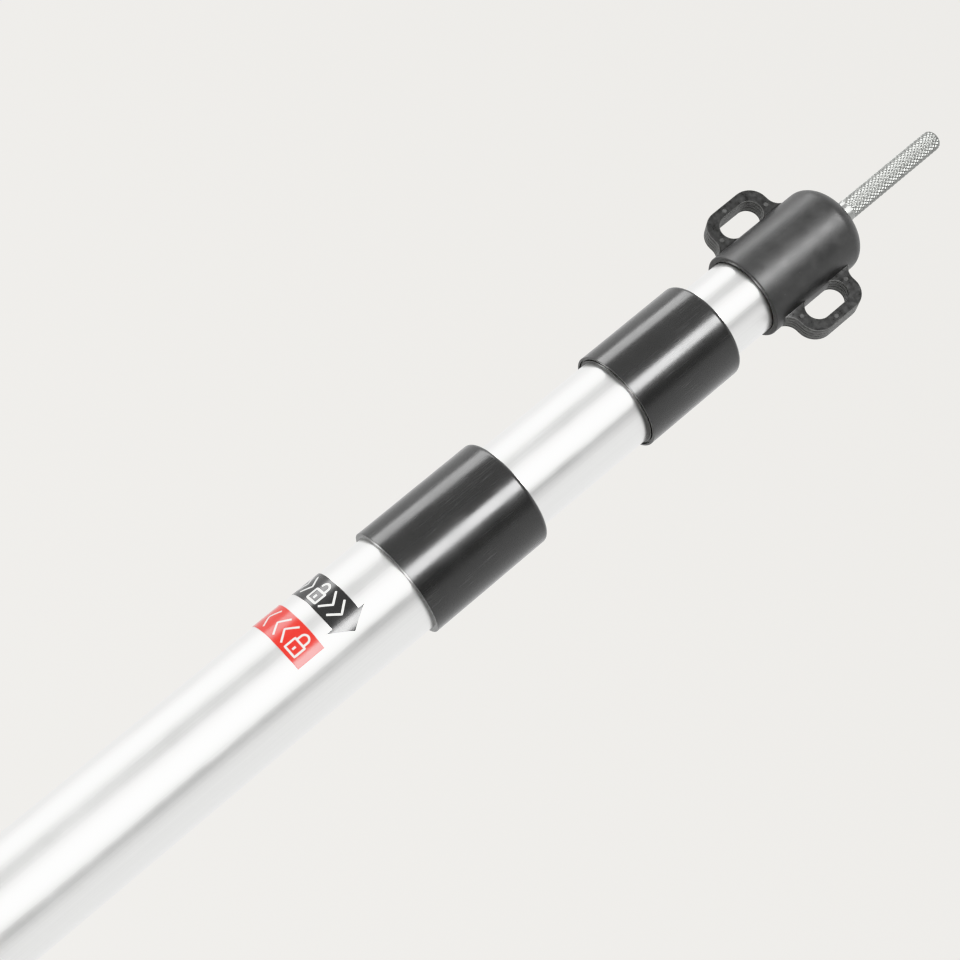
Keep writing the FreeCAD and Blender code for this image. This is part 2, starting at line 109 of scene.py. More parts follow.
def piece_from(name, build, materials, sharp=35.0):
    """A new object from a bmesh, smooth except at edges sharper than the angle given."""
    mesh = bpy.data.meshes.new(name)
    bmesh.ops.recalc_face_normals(build, faces=build.faces)
    build.to_mesh(mesh)
    build.free()
    mesh.shade_smooth()
    mesh.set_sharp_from_angle(angle=math.radians(sharp))
    for material in materials:
        mesh.materials.append(material)
    piece = bpy.data.objects.new(name, mesh)
    bpy.context.scene.collection.objects.link(piece)
    return piece


def rounded(corners, steps=8):
    """A polygon's points with its corners rounded; a corner is (across, up, radius)."""
    points = []
    count = len(corners)
    for index, (across, up, radius) in enumerate(corners):
        here = Vector((across, up))
        if radius <= 0:
            points.append(here)
            continue
        before = (Vector(corners[index - 1][:2]) - here).normalized()
        after = (Vector(corners[(index + 1) % count][:2]) - here).normalized()
        half = before.angle(after) / 2
        middle = here + (before + after).normalized() * (radius / math.sin(half))
        start = here + before * (radius / math.tan(half)) - middle
        turn = start.angle_signed(here + after * (radius / math.tan(half)) - middle)
        for step in range(steps + 1):
            spin = Matrix.Rotation(-turn * step / steps, 2)
            points.append(middle + spin @ start)
    return points


def turned(build, profile, steps=96, closed=True, shape=None):
    """Turns a profile of (radius, height) points about the pole's axis."""
    rings = []
    for radius, height in profile:
        if radius < 1e-7:
            rings.append([build.verts.new((0, 0, height))] * steps)
            continue
        ring = []
        for step in range(steps):
            angle = 2 * math.pi * step / steps
            reach = shape(radius, height, angle) if shape else radius
            ring.append(build.verts.new((reach * math.cos(angle), reach * math.sin(angle), height)))
        rings.append(ring)
    pairs = list(zip(rings, rings[1:]))
    if closed:
        pairs.append((rings[-1], rings[0]))
    for low, high in pairs:
        for step in range(steps):
            after = (step + 1) % steps
            corners = dict.fromkeys((low[step], low[after], high[after], high[step]))
            if len(corners) > 2:
                build.faces.new(corners)


def bridge(build, first, second):
    """Joins two closed loops of the same number of points with quads."""
    count = len(first)
    for index in range(count):
        after = (index + 1) % count
        build.faces.new((first[index], first[after], second[after], second[index]))


def wrap(across, up, radius, zero, height):
    """A point of a flat drawing bent around the pole: zero is the drawing's middle, in radians."""
    angle = zero + across / radius_of("outer_tube")
    return (radius * math.cos(angle), radius * math.sin(angle), height + up)


def slab(build, columns, place, inner, outer):
    """A thin closed strip bent by place(); a column is (across, low, high)."""
    rings = []
    for across, low, high in columns:
        rings.append([build.verts.new(place(across, low, inner)), build.verts.new(place(across, high, inner)),
                      build.verts.new(place(across, high, outer)), build.verts.new(place(across, low, outer))])
    for first, second in zip(rings, rings[1:]):
        bridge(build, first, second)
    build.faces.new(rings[0])
    build.faces.new(reversed(rings[-1]))


# ---------------------------------------------------------------- shader helpers

def add_node(tree, kind, inputs=None, **settings):
    """A node with its settings and its inputs' values."""
    node = tree.nodes.new(kind)
    for name, value in settings.items():
        setattr(node, name, value)
    for name, value in (inputs or {}).items():
        node.inputs[name].default_value = value
    return node


def new_group(name, inputs):
    """An empty shader group with number inputs, a Vector input and one output called Value."""
    tree = bpy.data.node_groups.new(name, "ShaderNodeTree")
    tree.interface.new_socket("Vector", in_out="INPUT", socket_type="NodeSocketVector")
    for label, value in inputs.items():
        socket = tree.interface.new_socket(label, in_out="INPUT", socket_type="NodeSocketFloat")
        socket.default_value = value
    tree.interface.new_socket("Value", in_out="OUTPUT", socket_type="NodeSocketFloat")
    start = add_node(tree, "NodeGroupInput")
    end = add_node(tree, "NodeGroupOutput")
    return tree, start, end


def stretched_group():
    """Noise drawn out along the pole: drawing lines, flow marks."""
    name = "Drawn lines"
    if name in bpy.data.node_groups:
        return bpy.data.node_groups[name]
    tree, start, end = new_group(name, {"Across": 4000.0, "Along": 20.0})
    size = add_node(tree, "ShaderNodeCombineXYZ")
    scaled = add_node(tree, "ShaderNodeVectorMath", operation="MULTIPLY")
    noise = add_node(tree, "ShaderNodeTexNoise", {"Scale": 1.0, "Detail": 3.0, "Roughness": 0.6})
    tree.links.new(start.outputs["Across"], size.inputs["X"])
    tree.links.new(start.outputs["Across"], size.inputs["Y"])
    tree.links.new(start.outputs["Along"], size.inputs["Z"])
    tree.links.new(start.outputs["Vector"], scaled.inputs[0])
    tree.links.new(size.outputs["Vector"], scaled.inputs[1])
    tree.links.new(scaled.outputs["Vector"], noise.inputs["Vector"])
    tree.links.new(noise.outputs["Fac"], end.inputs["Value"])
    return tree


def grain_group():
    """Even noise of one size: moulded grain, mottling."""
    name = "Moulded grain"
    if name in bpy.data.node_groups:
        return bpy.data.node_groups[name]
    tree, start, end = new_group(name, {"Scale": 3000.0, "Detail": 3.0})
    noise = add_node(tree, "ShaderNodeTexNoise", {"Roughness": 0.55})
    tree.links.new(start.outputs["Vector"], noise.inputs["Vector"])
    tree.links.new(start.outputs["Scale"], noise.inputs["Scale"])
    tree.links.new(start.outputs["Detail"], noise.inputs["Detail"])
    tree.links.new(noise.outputs["Fac"], end.inputs["Value"])
    return tree


def scuff_group():
    """Short fine scratches in patches, 1 on a scratch and 0 off it."""
    name = "Handling scuffs"
    if name in bpy.data.node_groups:
        return bpy.data.node_groups[name]
    tree, start, end = new_group(name, {"Scale": 60.0, "Width": 0.05, "Cover": 0.5})
    lines = []
    for turn, pull in ((0.5, 0.035), (-0.7, 0.06)):
        place = add_node(tree, "ShaderNodeMapping")
        place.inputs["Rotation"].default_value = (turn, turn * 0.8, turn * 0.4)
        place.inputs["Scale"].default_value = (1.0, 1.0, pull)
        noise = add_node(tree, "ShaderNodeTexNoise", {"Detail": 2.0, "Roughness": 0.5})
        size = add_node(tree, "ShaderNodeMath", operation="MULTIPLY")
        size.inputs[1].default_value = 22.0
        line = add_node(tree, "ShaderNodeMapRange", {"From Max": 0.74})
        below = add_node(tree, "ShaderNodeMath", operation="SUBTRACT")
        below.inputs[0].default_value = 0.74
        tree.links.new(start.outputs["Vector"], place.inputs["Vector"])
        tree.links.new(place.outputs["Vector"], noise.inputs["Vector"])
        tree.links.new(start.outputs["Scale"], size.inputs[0])
        tree.links.new(size.outputs[0], noise.inputs["Scale"])
        tree.links.new(start.outputs["Width"], below.inputs[1])
        tree.links.new(below.outputs[0], line.inputs["From Min"])
        tree.links.new(noise.outputs["Fac"], line.inputs["Value"])
        lines.append(line)
    both = add_node(tree, "ShaderNodeMath", operation="MAXIMUM")
    patches = add_node(tree, "ShaderNodeTexNoise", {"Detail": 2.0, "Roughness": 0.6})
    patch = add_node(tree, "ShaderNodeMapRange", {"From Max": 0.75})
    shown = add_node(tree, "ShaderNodeMath", operation="MULTIPLY")
    tree.links.new(lines[0].outputs["Result"], both.inputs[0])
    tree.links.new(lines[1].outputs["Result"], both.inputs[1])
    tree.links.new(start.outputs["Vector"], patches.inputs["Vector"])
    tree.links.new(start.outputs["Scale"], patches.inputs["Scale"])
    tree.links.new(patches.outputs["Fac"], patch.inputs["Value"])
    tree.links.new(start.outputs["Cover"], patch.inputs["From Min"])
    tree.links.new(both.outputs[0], shown.inputs[0])
    tree.links.new(patch.outputs["Result"], shown.inputs[1])
    tree.links.new(shown.outputs[0], end.inputs["Value"])
    return tree


class Finish:
    """One material under construction: a Principled shader and the object's own coordinates."""

    def __init__(self, name, colour, roughness, metallic=0.0, **more):
        self.material = bpy.data.materials.new(name)
        self.material.use_nodes = True
        self.tree = self.material.node_tree
        self.shader = self.tree.nodes["Principled BSDF"]
        self.shader.inputs["Base Color"].default_value = (*colour, 1.0)
        self.shader.inputs["Roughness"].default_value = roughness
        self.shader.inputs["Metallic"].default_value = metallic
        for label, value in more.items():
            self.shader.inputs[label.replace("_", " ")].default_value = value
        self.place = add_node(self.tree, "ShaderNodeTexCoord")

    def effect(self, group, **values):
        """A shared effect placed in this material; gives its output."""
        node = add_node(self.tree, "ShaderNodeGroup", node_tree=group)
        for label, value in values.items():
            node.inputs[label].default_value = value
        self.tree.links.new(self.place.outputs["Object"], node.inputs["Vector"])
        return node.outputs["Value"]

    def spread(self, source, low, high, start=0.3, stop=0.7):
        """Turns a 0 to 1 signal into a number between low and high."""
        node = add_node(self.tree, "ShaderNodeMapRange",
                        {"From Min": start, "From Max": stop, "To Min": low, "To Max": high})
        self.tree.links.new(source, node.inputs["Value"])
        return node.outputs["Result"]

    def sum_of(self, first, second, operation="ADD"):
        """Two signals put together."""
        node = add_node(self.tree, "ShaderNodeMath", operation=operation)
        self.tree.links.new(first, node.inputs[0])
        self.tree.links.new(second, node.inputs[1])
        return node.outputs[0]

    def blend(self, source, dark, light):
        """Base colour between two colours by a signal."""
        node = add_node(self.tree, "ShaderNodeMix", data_type="RGBA")
        node.inputs["A"].default_value = (*dark, 1.0)
        node.inputs["B"].default_value = (*light, 1.0)
        self.tree.links.new(source, node.inputs["Factor"])
        self.tree.links.new(node.outputs["Result"], self.shader.inputs["Base Color"])

    def roughen(self, source):
        """Roughness from a signal."""
        self.tree.links.new(source, self.shader.inputs["Roughness"])

    def emboss(self, *layers):
        """Bumps from (signal, depth in metres) layers, one on the other."""
        normal = None
        for source, depth in layers:
            bump = add_node(self.tree, "ShaderNodeBump", {"Strength": 1.0, "Distance": depth})
            self.tree.links.new(source, bump.inputs["Height"])
            if normal:
                self.tree.links.new(normal, bump.inputs["Normal"])
            normal = bump.outputs["Normal"]
        self.tree.links.new(normal, self.shader.inputs["Normal"])


# ---------------------------------------------------------------- finishes

def tube_finish(settings):
    """Satin anodised aluminium with the long fine lines of a drawn tube."""
    finish = Finish("anodised_tube", settings.colour, settings.roughness, 1.0)
    lines = finish.effect(stretched_group(), Across=2600.0, Along=9.0)
    cloud = finish.effect(grain_group(), Scale=45.0, Detail=4.0)
    scuffs = finish.effect(scuff_group(), Scale=55.0, Width=0.12, Cover=0.5)
    rough = finish.sum_of(finish.spread(lines, -0.015, 0.015), finish.spread(cloud, -0.03, 0.03))
    rough = finish.sum_of(rough, finish.spread(scuffs, settings.roughness, settings.roughness + 0.06, 0.0, 1.0))
    finish.roughen(rough)
    bright = tuple(part * 1.02 for part in settings.colour)
    dull = tuple(part * 0.97 for part in settings.colour)
    finish.blend(finish.spread(lines, 0.0, 1.0), dull, bright)
    finish.emboss((lines, 0.35e-6), (scuffs, -0.8e-6))
    return finish.material


def sleeve_finish(settings):
    """Glossy black moulded plastic with faint flow marks and hairline scuffs."""
    finish = Finish("sleeve_plastic", settings.colour, settings.roughness, IOR=1.58)
    grain = finish.effect(grain_group(), Scale=2200.0, Detail=3.0)
    cloud = finish.effect(grain_group(), Scale=110.0, Detail=4.0)
    scuffs = finish.effect(scuff_group(), Scale=90.0, Width=0.14, Cover=0.45)
    low, high = settings.roughness - 0.03, settings.roughness + 0.05
    rough = finish.sum_of(finish.spread(cloud, low, high), finish.spread(scuffs, 0.0, 0.12, 0.0, 1.0))
    finish.roughen(rough)
    finish.blend(scuffs, settings.colour, tuple(part * 1.8 for part in settings.colour))
    finish.emboss((grain, 2.5e-6), (scuffs, -1.5e-6))
    return finish.material


def cap_finish(settings):
    """Satin black nylon: fine grain, clouds of rubbing and specks of dust."""
    finish = Finish("cap_nylon", settings.colour, settings.roughness, IOR=1.5)
    grain = finish.effect(grain_group(), Scale=3200.0, Detail=3.0)
    cloud = finish.effect(grain_group(), Scale=260.0, Detail=6.0)
    specks = finish.spread(finish.effect(grain_group(), Scale=1300.0, Detail=2.0), 0.0, 1.0, 0.72, 0.8)
    finish.roughen(finish.spread(cloud, settings.roughness - 0.04, settings.roughness + 0.05))
    dusty = tuple(part * 2.4 for part in settings.colour)
    finish.blend(finish.sum_of(finish.spread(cloud, 0.0, 0.25), specks), settings.colour, dusty)
    finish.emboss((grain, 6e-6), (cloud, 6e-6), (specks, 6e-6))
    return finish.material


def ear_finish(settings):
    """The ears' flat faces: smoother and darker than the cap, mottled where the mould touched."""
    finish = Finish("cap_nylon_face", settings.face, settings.face_roughness, IOR=1.45)
    grain = finish.effect(grain_group(), Scale=2600.0, Detail=3.0)
    cloud = finish.effect(grain_group(), Scale=700.0, Detail=6.0)
    finish.roughen(finish.spread(cloud, settings.face_roughness - 0.05, settings.face_roughness + 0.08))
    pale = tuple(part * 2.4 for part in settings.face)
    finish.blend(finish.spread(cloud, 0.0, 1.0), settings.face, pale)
    finish.emboss((grain, 4e-6), (cloud, 5e-6))
    return finish.material


def plain_cap_finish(name, colour, roughness):
    """Nylon lighter than the cap: the ears' side bands and the ejector marks."""
    finish = Finish(name, colour, roughness, IOR=1.5)
    cloud = finish.effect(grain_group(), Scale=900.0, Detail=5.0)
    finish.roughen(finish.spread(cloud, roughness - 0.08, roughness + 0.08))
    finish.blend(finish.spread(cloud, 0.0, 1.0, 0.35, 0.65), tuple(part * 0.6 for part in colour), colour)
    finish.emboss((cloud, 4e-6))
    return finish.material


def zinc_finish(name, colour, settings):
    """Bright zinc plating with crystalline sparkle."""
    finish = Finish(name, colour, settings.roughness, 1.0)
    grain = finish.effect(grain_group(), Scale=5200.0, Detail=2.0)
    cloud = finish.effect(grain_group(), Scale=380.0, Detail=4.0)
    low, high = settings.roughness - 0.08, settings.roughness + 0.1
    finish.roughen(finish.spread(cloud, low, high))
    finish.blend(cloud, tuple(part * 0.82 for part in colour), colour)
    finish.emboss((grain, 5e-6))
    return finish.material


def rubber_finish(settings):
    """Dull moulded rubber with a dusty bloom and scuffs."""
    finish = Finish("foot_rubber", settings.colour, settings.roughness, IOR=1.45)
    grain = finish.effect(grain_group(), Scale=1800.0, Detail=4.0)
    cloud = finish.effect(grain_group(), Scale=90.0, Detail=5.0)
    scuffs = finish.effect(scuff_group(), Scale=60.0, Width=0.2, Cover=0.3)
    finish.roughen(finish.spread(cloud, settings.roughness - 0.1, settings.roughness + 0.12))
    dusty = tuple(part * 3.2 for part in settings.colour)
    finish.blend(finish.sum_of(finish.spread(cloud, 0.0, 0.5), scuffs), settings.colour, dusty)
    finish.emboss((grain, 2e-5), (scuffs, -1e-5))
    return finish.material


def film_finish(name, colour, settings):
    """Printed film under a clear glossy face."""
    finish = Finish(name, colour, settings.roughness, IOR=1.62)
    cloud = finish.effect(grain_group(), Scale=300.0, Detail=3.0)
    scuffs = finish.effect(scuff_group(), Scale=120.0, Width=0.1, Cover=0.5)
    finish.roughen(finish.sum_of(finish.spread(cloud, settings.roughness - 0.03, settings.roughness + 0.05),
                                 finish.spread(scuffs, 0.0, 0.15, 0.0, 1.0)))
    finish.blend(cloud, tuple(part * 0.88 for part in colour), colour)
    finish.emboss((cloud, 4e-6))
    return finish.material


def nylon_finish(name, colour, roughness):
    """Plain moulded nylon of the lock's pieces."""
    finish = Finish(name, colour, roughness, IOR=1.5)
    grain = finish.effect(grain_group(), Scale=2400.0, Detail=3.0)
    cloud = finish.effect(grain_group(), Scale=160.0, Detail=3.0)
    finish.roughen(finish.spread(cloud, roughness - 0.08, roughness + 0.08))
    finish.blend(cloud, tuple(part * 0.86 for part in colour), colour)
    finish.emboss((grain, 8e-6))
    return finish.material


# ---------------------------------------------------------------- settings

def colour_setting(label, note, value):
    """A colour that a user may change."""
    return FloatVectorProperty(name=label, description=note, default=value, subtype="COLOR", min=0.0, max=1.0)


def size_setting(label, note, value):
    """A length that a user may change."""
    return FloatProperty(name=label, description=note, default=value, subtype="DISTANCE", unit="LENGTH")


def rough_setting(value):
    """How dull a surface is."""
    return FloatProperty(name="Roughness", description="How dull the surface is", default=value,
                         min=0.0, max=1.0, subtype="FACTOR")


class TubeSettings(bpy.types.PropertyGroup):
    """The three tubes."""
    colour: colour_setting("Aluminium", "Colour of the anodised tubes", (0.73, 0.73, 0.722))
    roughness: rough_setting(0.32)
    wall: size_setting("Wall", "Wall of the tubes", 1.0 * MM)
    end_round: size_setting("End rounding", "Rounding of the tubes' cut ends", 0.2 * MM)


class SleeveSettings(bpy.types.PropertyGroup):
    """The two sleeves."""
    colour: colour_setting("Black", "Colour of the sleeves", (0.018, 0.018, 0.0178))
    roughness: rough_setting(0.2)
    top_round: size_setting("Top rounding", "Rounding of a sleeve's top edge", 1.4 * MM)
    end_round: size_setting("End rounding", "Rounding of a sleeve's lower edge", 0.12 * MM)
    lip: size_setting("Lip", "Thickness of the lip over the tube's end", 3.0 * MM)
    lip_gap: size_setting("Lip gap", "Gap between the lip and the sliding tube", 0.2 * MM)


class CapSettings(bpy.types.PropertyGroup):
    """The head cap and its ears."""
    colour: colour_setting("Black", "Colour of the head cap", (0.022, 0.022, 0.0218))
    roughness: rough_setting(0.4)
    face: colour_setting("Ear face", "Colour of the ears' flat faces", (0.013, 0.013, 0.0128))
    face_roughness: rough_setting(0.3)
    band: colour_setting("Ear bands", "Colour of the bands on the ears' edges", (0.075, 0.075, 0.073))
    mark: colour_setting("Marks", "Colour of the ejector marks", (0.05, 0.05, 0.049))
    dome_height: size_setting("Dome height", "Height of the dome's rounding", 6.0 * MM)
    dome_width: size_setting("Dome width", "Width of the dome's rounding", 9.0 * MM)
    ear_low: size_setting("Ear height", "From the rim up to the ears' lower edge", 5.05 * MM)
    ear_rim: size_setting("Ear rim", "Width of an ear's rim above and below its slot", 3.3 * MM)
    tip_rim: size_setting("Ear tip", "Width of an ear's rim outside its slot", 2.95 * MM)
    ear_plate: size_setting("Ear thickness", "Thickness of the ears", 5.3 * MM)
    slot_width: size_setting("Slot width", "Width of an ear's slot", 7.1 * MM)
    slot_height: size_setting("Slot height", "Length of an ear's slot", 13.5 * MM)


class SpikeSettings(bpy.types.PropertyGroup):
    """The knurled spike."""
    colour: colour_setting("Zinc", "Colour of the plating", (0.38, 0.385, 0.375))
    roughness: rough_setting(0.36)
    # groove: a darker copy of the zinc for the knurl's groove faces, painted shade in the grooves
    groove: colour_setting("Grooves", "Colour of the plating deep in the knurl", (0.27, 0.275, 0.265))
    neck: size_setting("Neck", "Length of plain neck above the cap", 4.6 * MM)
    depth: size_setting("Knurl depth", "Depth of the knurl's grooves", 0.32 * MM)
    starts: IntProperty(name="Grooves", description="Grooves around the spike, each way", default=18, min=6)
    lead: size_setting("Lead", "Height in which a groove goes once round", 26.0 * MM)


class LabelSettings(bpy.types.PropertyGroup):
    """The two labels."""
    black: colour_setting("Black", "Colour of the upper label", (0.015, 0.015, 0.015))
    red: colour_setting("Red", "Colour of the lower label", (0.44, 0.017, 0.009))
    white: colour_setting("White", "Colour of the signs", (0.5, 0.5, 0.49))
    roughness: rough_setting(0.2)
    stroke: size_setting("Stroke", "Width of the signs' lines", 0.52 * MM)
    sign_height: size_setting("Sign height", "Height of the signs", 6.2 * MM)


class FootSettings(bpy.types.PropertyGroup):
    """The rubber foot."""
    colour: colour_setting("Rubber", "Colour of the foot", (0.012, 0.012, 0.0125))
    roughness: rough_setting(0.62)
    flutes: IntProperty(name="Flutes", description="Grip flutes around the foot", default=28, min=8)
    flute_depth: size_setting("Flute depth", "Depth of the grip flutes", 0.45 * MM)


class StageSettings(bpy.types.PropertyGroup):
    """Floor, light and camera."""
    floor: colour_setting("Floor", "Colour of the floor", (0.86, 0.86, 0.85))
    backdrop: colour_setting("Backdrop", "Colour behind the pole", (1.0, 0.985, 0.955))
    camera_place: FloatVectorProperty(
        name="Camera", description="From the lower sleeve's bottom centre to the camera",
        default=(113.1 * MM, -426.2 * MM, -90.7 * MM), subtype="TRANSLATION", unit="LENGTH")
    azimuth: FloatProperty(name="Azimuth", description="Direction the camera looks in, from +Y",
                           default=math.radians(15.72), subtype="ANGLE")
    elevation: FloatProperty(name="Elevation", description="Height of the camera's line, negative looks up",
                             default=math.radians(-15.71), subtype="ANGLE")
    roll: FloatProperty(name="Roll", description="Turn of the picture about the camera's line",
                        default=math.radians(50.61), subtype="ANGLE")
    lens: FloatProperty(name="Lens", description="Focal length in mm on a 36 mm frame", default=68.26)


SETTINGS = {
    "pole_tubes": TubeSettings, "pole_sleeves": SleeveSettings, "pole_cap": CapSettings,
    "pole_spike": SpikeSettings, "pole_labels": LabelSettings, "pole_foot": FootSettings,
    "pole_stage": StageSettings,
}


# ---------------------------------------------------------------- operators

class POLE_OT_tubes(bpy.types.Operator):
    """Make the three anodised tubes"""
    bl_idname = "pole.tubes"
    bl_label = "Tubes"

    def execute(self, context):
        settings = context.scene.pole_tubes
        material = tube_finish(settings)
        for node in TUBE_NODES:
            outside = radius_of(node)
            inside = outside - settings.wall
            low, high, edge = base_z(node), top_z(node), settings.end_round
            profile = rounded([(inside, low, edge), (outside, low, edge), (outside, high, edge),
                               (inside, high, edge)], steps=3)
            build = bmesh.new()
            turned(build, profile, steps=160)
            stand_in_for(piece_from(node + "_drawn", build, [material], sharp=50), node)
        return {"FINISHED"}


class POLE_OT_sleeves(bpy.types.Operator):
    """Make the two glossy sleeves"""
    bl_idname = "pole.sleeves"
    bl_label = "Sleeves"

    def execute(self, context):
        settings = context.scene.pole_sleeves
        material = sleeve_finish(settings)
        for index, node in enumerate(SLEEVE_NODES):
            build = bmesh.new()
            turned(build, self.profile(settings, node, index), steps=160)
            stand_in_for(piece_from(node + "_moulded", build, [material], sharp=50), node)
        return {"FINISHED"}

    def profile(self, settings, node, index):
        """The sleeve's section; the upper sleeve has a groove in its end face."""
        outside, tube = radius_of(node), radius_of(TUBE_NODES[index])
        lip = radius_of(TUBE_NODES[index + 1]) + settings.lip_gap
        low, high, edge = base_z(node), top_z(node), settings.end_round
        groove = [] if index == 0 else self.end_groove(tube, outside, low)
        return rounded([(tube, low, edge), *groove, (outside, low, edge), (outside, high, settings.top_round),
                        (lip, high, edge), (lip, high - settings.lip, 0), (tube, high - settings.lip, 0)])

    def end_groove(self, tube, outside, low):
        """A shallow round groove that splits the end face in two rings."""
        middle, half, depth = (tube + outside) / 2, 0.22 * MM, 0.5 * MM
        return [(middle - half, low, 0.08 * MM), (middle - half, low + depth, 0.1 * MM),
                (middle + half, low + depth, 0.1 * MM), (middle + half, low, 0.08 * MM)]


class POLE_OT_head_cap(bpy.types.Operator):
    """Make the domed head cap with its two slotted ears"""
    bl_idname = "pole.head_cap"
    bl_label = "Head cap"

    def execute(self, context):
        settings = context.scene.pole_cap
        materials = [cap_finish(settings), ear_finish(settings),
                     plain_cap_finish("cap_nylon_band", settings.band, 0.5),
                     plain_cap_finish("cap_nylon_mark", settings.mark, 0.5)]
        build = bmesh.new()
        turned(build, self.profile(settings), steps=192)
        cap = piece_from("head_cap_moulded", build, materials)
        for side in (-1, 1):
            self.join(cap, self.ear(settings, side, materials))
        cap.data.shade_smooth()
        cap.data.set_sharp_from_angle(angle=math.radians(28))
        stand_in_for(cap, "head_cap")
        return {"FINISHED"}

    def profile(self, settings):
        """The cap's section: rim, side, elliptical dome, spike hole and socket."""
        outside = radius_of("outer_tube") - CAP_STEP
        low, high = base_z("head_cap"), top_z("head_cap")
        socket, roof = radius_of("inner_tube"), top_z("inner_tube")
        hole = 3.05 * MM
        edge = 0.45 * MM
        side = rounded([(socket, roof, 0), (socket, low, edge), (outside, low, edge), (outside, high, 0)], 6)[:-1]
        dome = []
        for step in range(25):
            angle = math.pi / 2 * step / 24
            dome.append((outside - settings.dome_width * (1 - math.cos(angle)),
                         high - settings.dome_height * (1 - math.sin(angle))))
        return [*side, *dome, (hole + 0.3 * MM, high), (hole, high - 0.3 * MM), (hole, roof)]

    def ear_layers(self, settings):
        """Depth and inset of an ear's layers: bands parted by four thin grooves."""
        half, groove, cut = settings.ear_plate / 2, 0.2 * MM, 0.26
        near = [(half, 0.16), (half - 0.05 * MM, 0.07), (half - 0.14 * MM, 0.02), (half - 0.2 * MM, 0.0)]
        for depth in (2.1 * MM, 0.7 * MM):
            near += [(depth, 0.0), (depth - 0.03 * MM, cut), (depth - groove, cut),
                     (depth - groove - 0.03 * MM, 0.0)]
        far = [(-depth, inset) for depth, inset in reversed(near)]
        return [(depth, inset * MM) for depth, inset in near + far]

    def ear_outline(self, settings, inset, side):
        """The ear seen from the front, running into the cap's wall."""
        rim = base_z("head_cap")
        cap = radius_of("outer_tube") - CAP_STEP
        root, inner = cap - 0.7 * MM - inset, cap - 1.15 * MM
        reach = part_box("head_cap")[1].x - inset
        low = rim + settings.ear_low + inset
        high = rim + settings.ear_low + settings.slot_height + 2 * settings.ear_rim - inset
        margin = 4.2 * MM
        corner, hollow = 5.5 * MM - inset, 4.0 * MM
        corners = [(inner, low - margin, 0), (root, low - margin, 0), (root, low, hollow), (reach, low, corner),
                   (reach, high, corner), (root, high, hollow), (root, high + margin, 0),
                   (inner, high + margin, 0)]
        return [(side * across, up) for across, up in rounded(corners, 10)]

    def slot_outline(self, settings, inset, side):
        """The slot's round-ended outline, wider where the ear's layers are inset."""
        rim = base_z("head_cap")
        cap = radius_of("outer_tube") - CAP_STEP
        half = settings.slot_width / 2
        centre_x = cap - 0.35 * MM + half
        centre_z = rim + settings.ear_low + settings.ear_rim + settings.slot_height / 2
        straight = settings.slot_height / 2 - half
        points = []
        for step in range(48):
            angle = 2 * math.pi * (step + 0.5) / 48
            shift = straight if math.sin(angle) > 0 else -straight
            points.append((side * (centre_x + (half + inset) * math.cos(angle)),
                           centre_z + shift + (half + inset) * math.sin(angle)))
        return points

    def ear(self, settings, side, materials):
        """One ear as a closed solid: flat faces, banded sides and pale ejector marks."""
        build = bmesh.new()
        outer_loops, slot_loops = [], []
        for depth, inset in self.ear_layers(settings):
            outer = [build.verts.new((x, depth, z)) for x, z in self.ear_outline(settings, inset, side)]
            inner = [build.verts.new((x, depth, z)) for x, z in self.slot_outline(settings, inset, side)]
            outer_loops.append(outer)
            slot_loops.append(inner)
        for loops in (outer_loops, slot_loops):
            for first, second in zip(loops, loops[1:]):
                bridge(build, first, second)
        for band in build.faces:
            band.material_index = 2
        for end, face in ((0, 1), (-1, -1)):
            edges = []
            for loop in (outer_loops[end], slot_loops[end], *self.ejector_marks(build, settings, side, face)):
                count = len(loop)
                edges += [build.edges.get((loop[step], loop[(step + 1) % count])) for step in range(count)]
            filled = bmesh.ops.triangle_fill(build, edges=edges, use_beauty=True)
            for piece in filled["geom"]:
                if isinstance(piece, bmesh.types.BMFace):
                    piece.material_index = 1
        return piece_from("ear_blank", build, materials)

    def ejector_marks(self, build, settings, side, face):
        """Shallow round pits that the mould's ejector pins leave in an ear's face; gives their rims."""
        cap = radius_of("outer_tube") - CAP_STEP
        middle = base_z("head_cap") + settings.ear_low + settings.ear_rim + settings.slot_height / 2
        reach = settings.slot_height / 2 + 1.6 * MM
        surface = settings.ear_plate / 2
        rims = []
        for across, up in ((2.3 * MM, reach), (2.3 * MM, -reach), (8.2 * MM, -1.5 * MM)):
            rim, bottom = [], []
            for step in range(20):
                angle = 2 * math.pi * step / 20
                for loop, radius, depth in ((rim, 0.7 * MM, surface), (bottom, 0.62 * MM, surface - 0.09 * MM)):
                    loop.append(build.verts.new((side * (cap + across) + radius * math.cos(angle), face * depth,
                                                 middle + up + radius * math.sin(angle))))
            bridge(build, rim, bottom)
            build.faces.new(bottom).material_index = 3
            rims.append(rim)
        return rims

    def join(self, target, tool):
        """Adds one closed solid to another, and removes the tool."""
        modifier = target.modifiers.new("join", "BOOLEAN")
        modifier.operation = "UNION"
        modifier.solver = "EXACT"
        modifier.object = tool
        view = bpy.context.evaluated_depsgraph_get()
        merged = bpy.data.meshes.new_from_object(target.evaluated_get(view))
        target.modifiers.clear()
        target.data = merged
        bpy.data.objects.remove(tool)


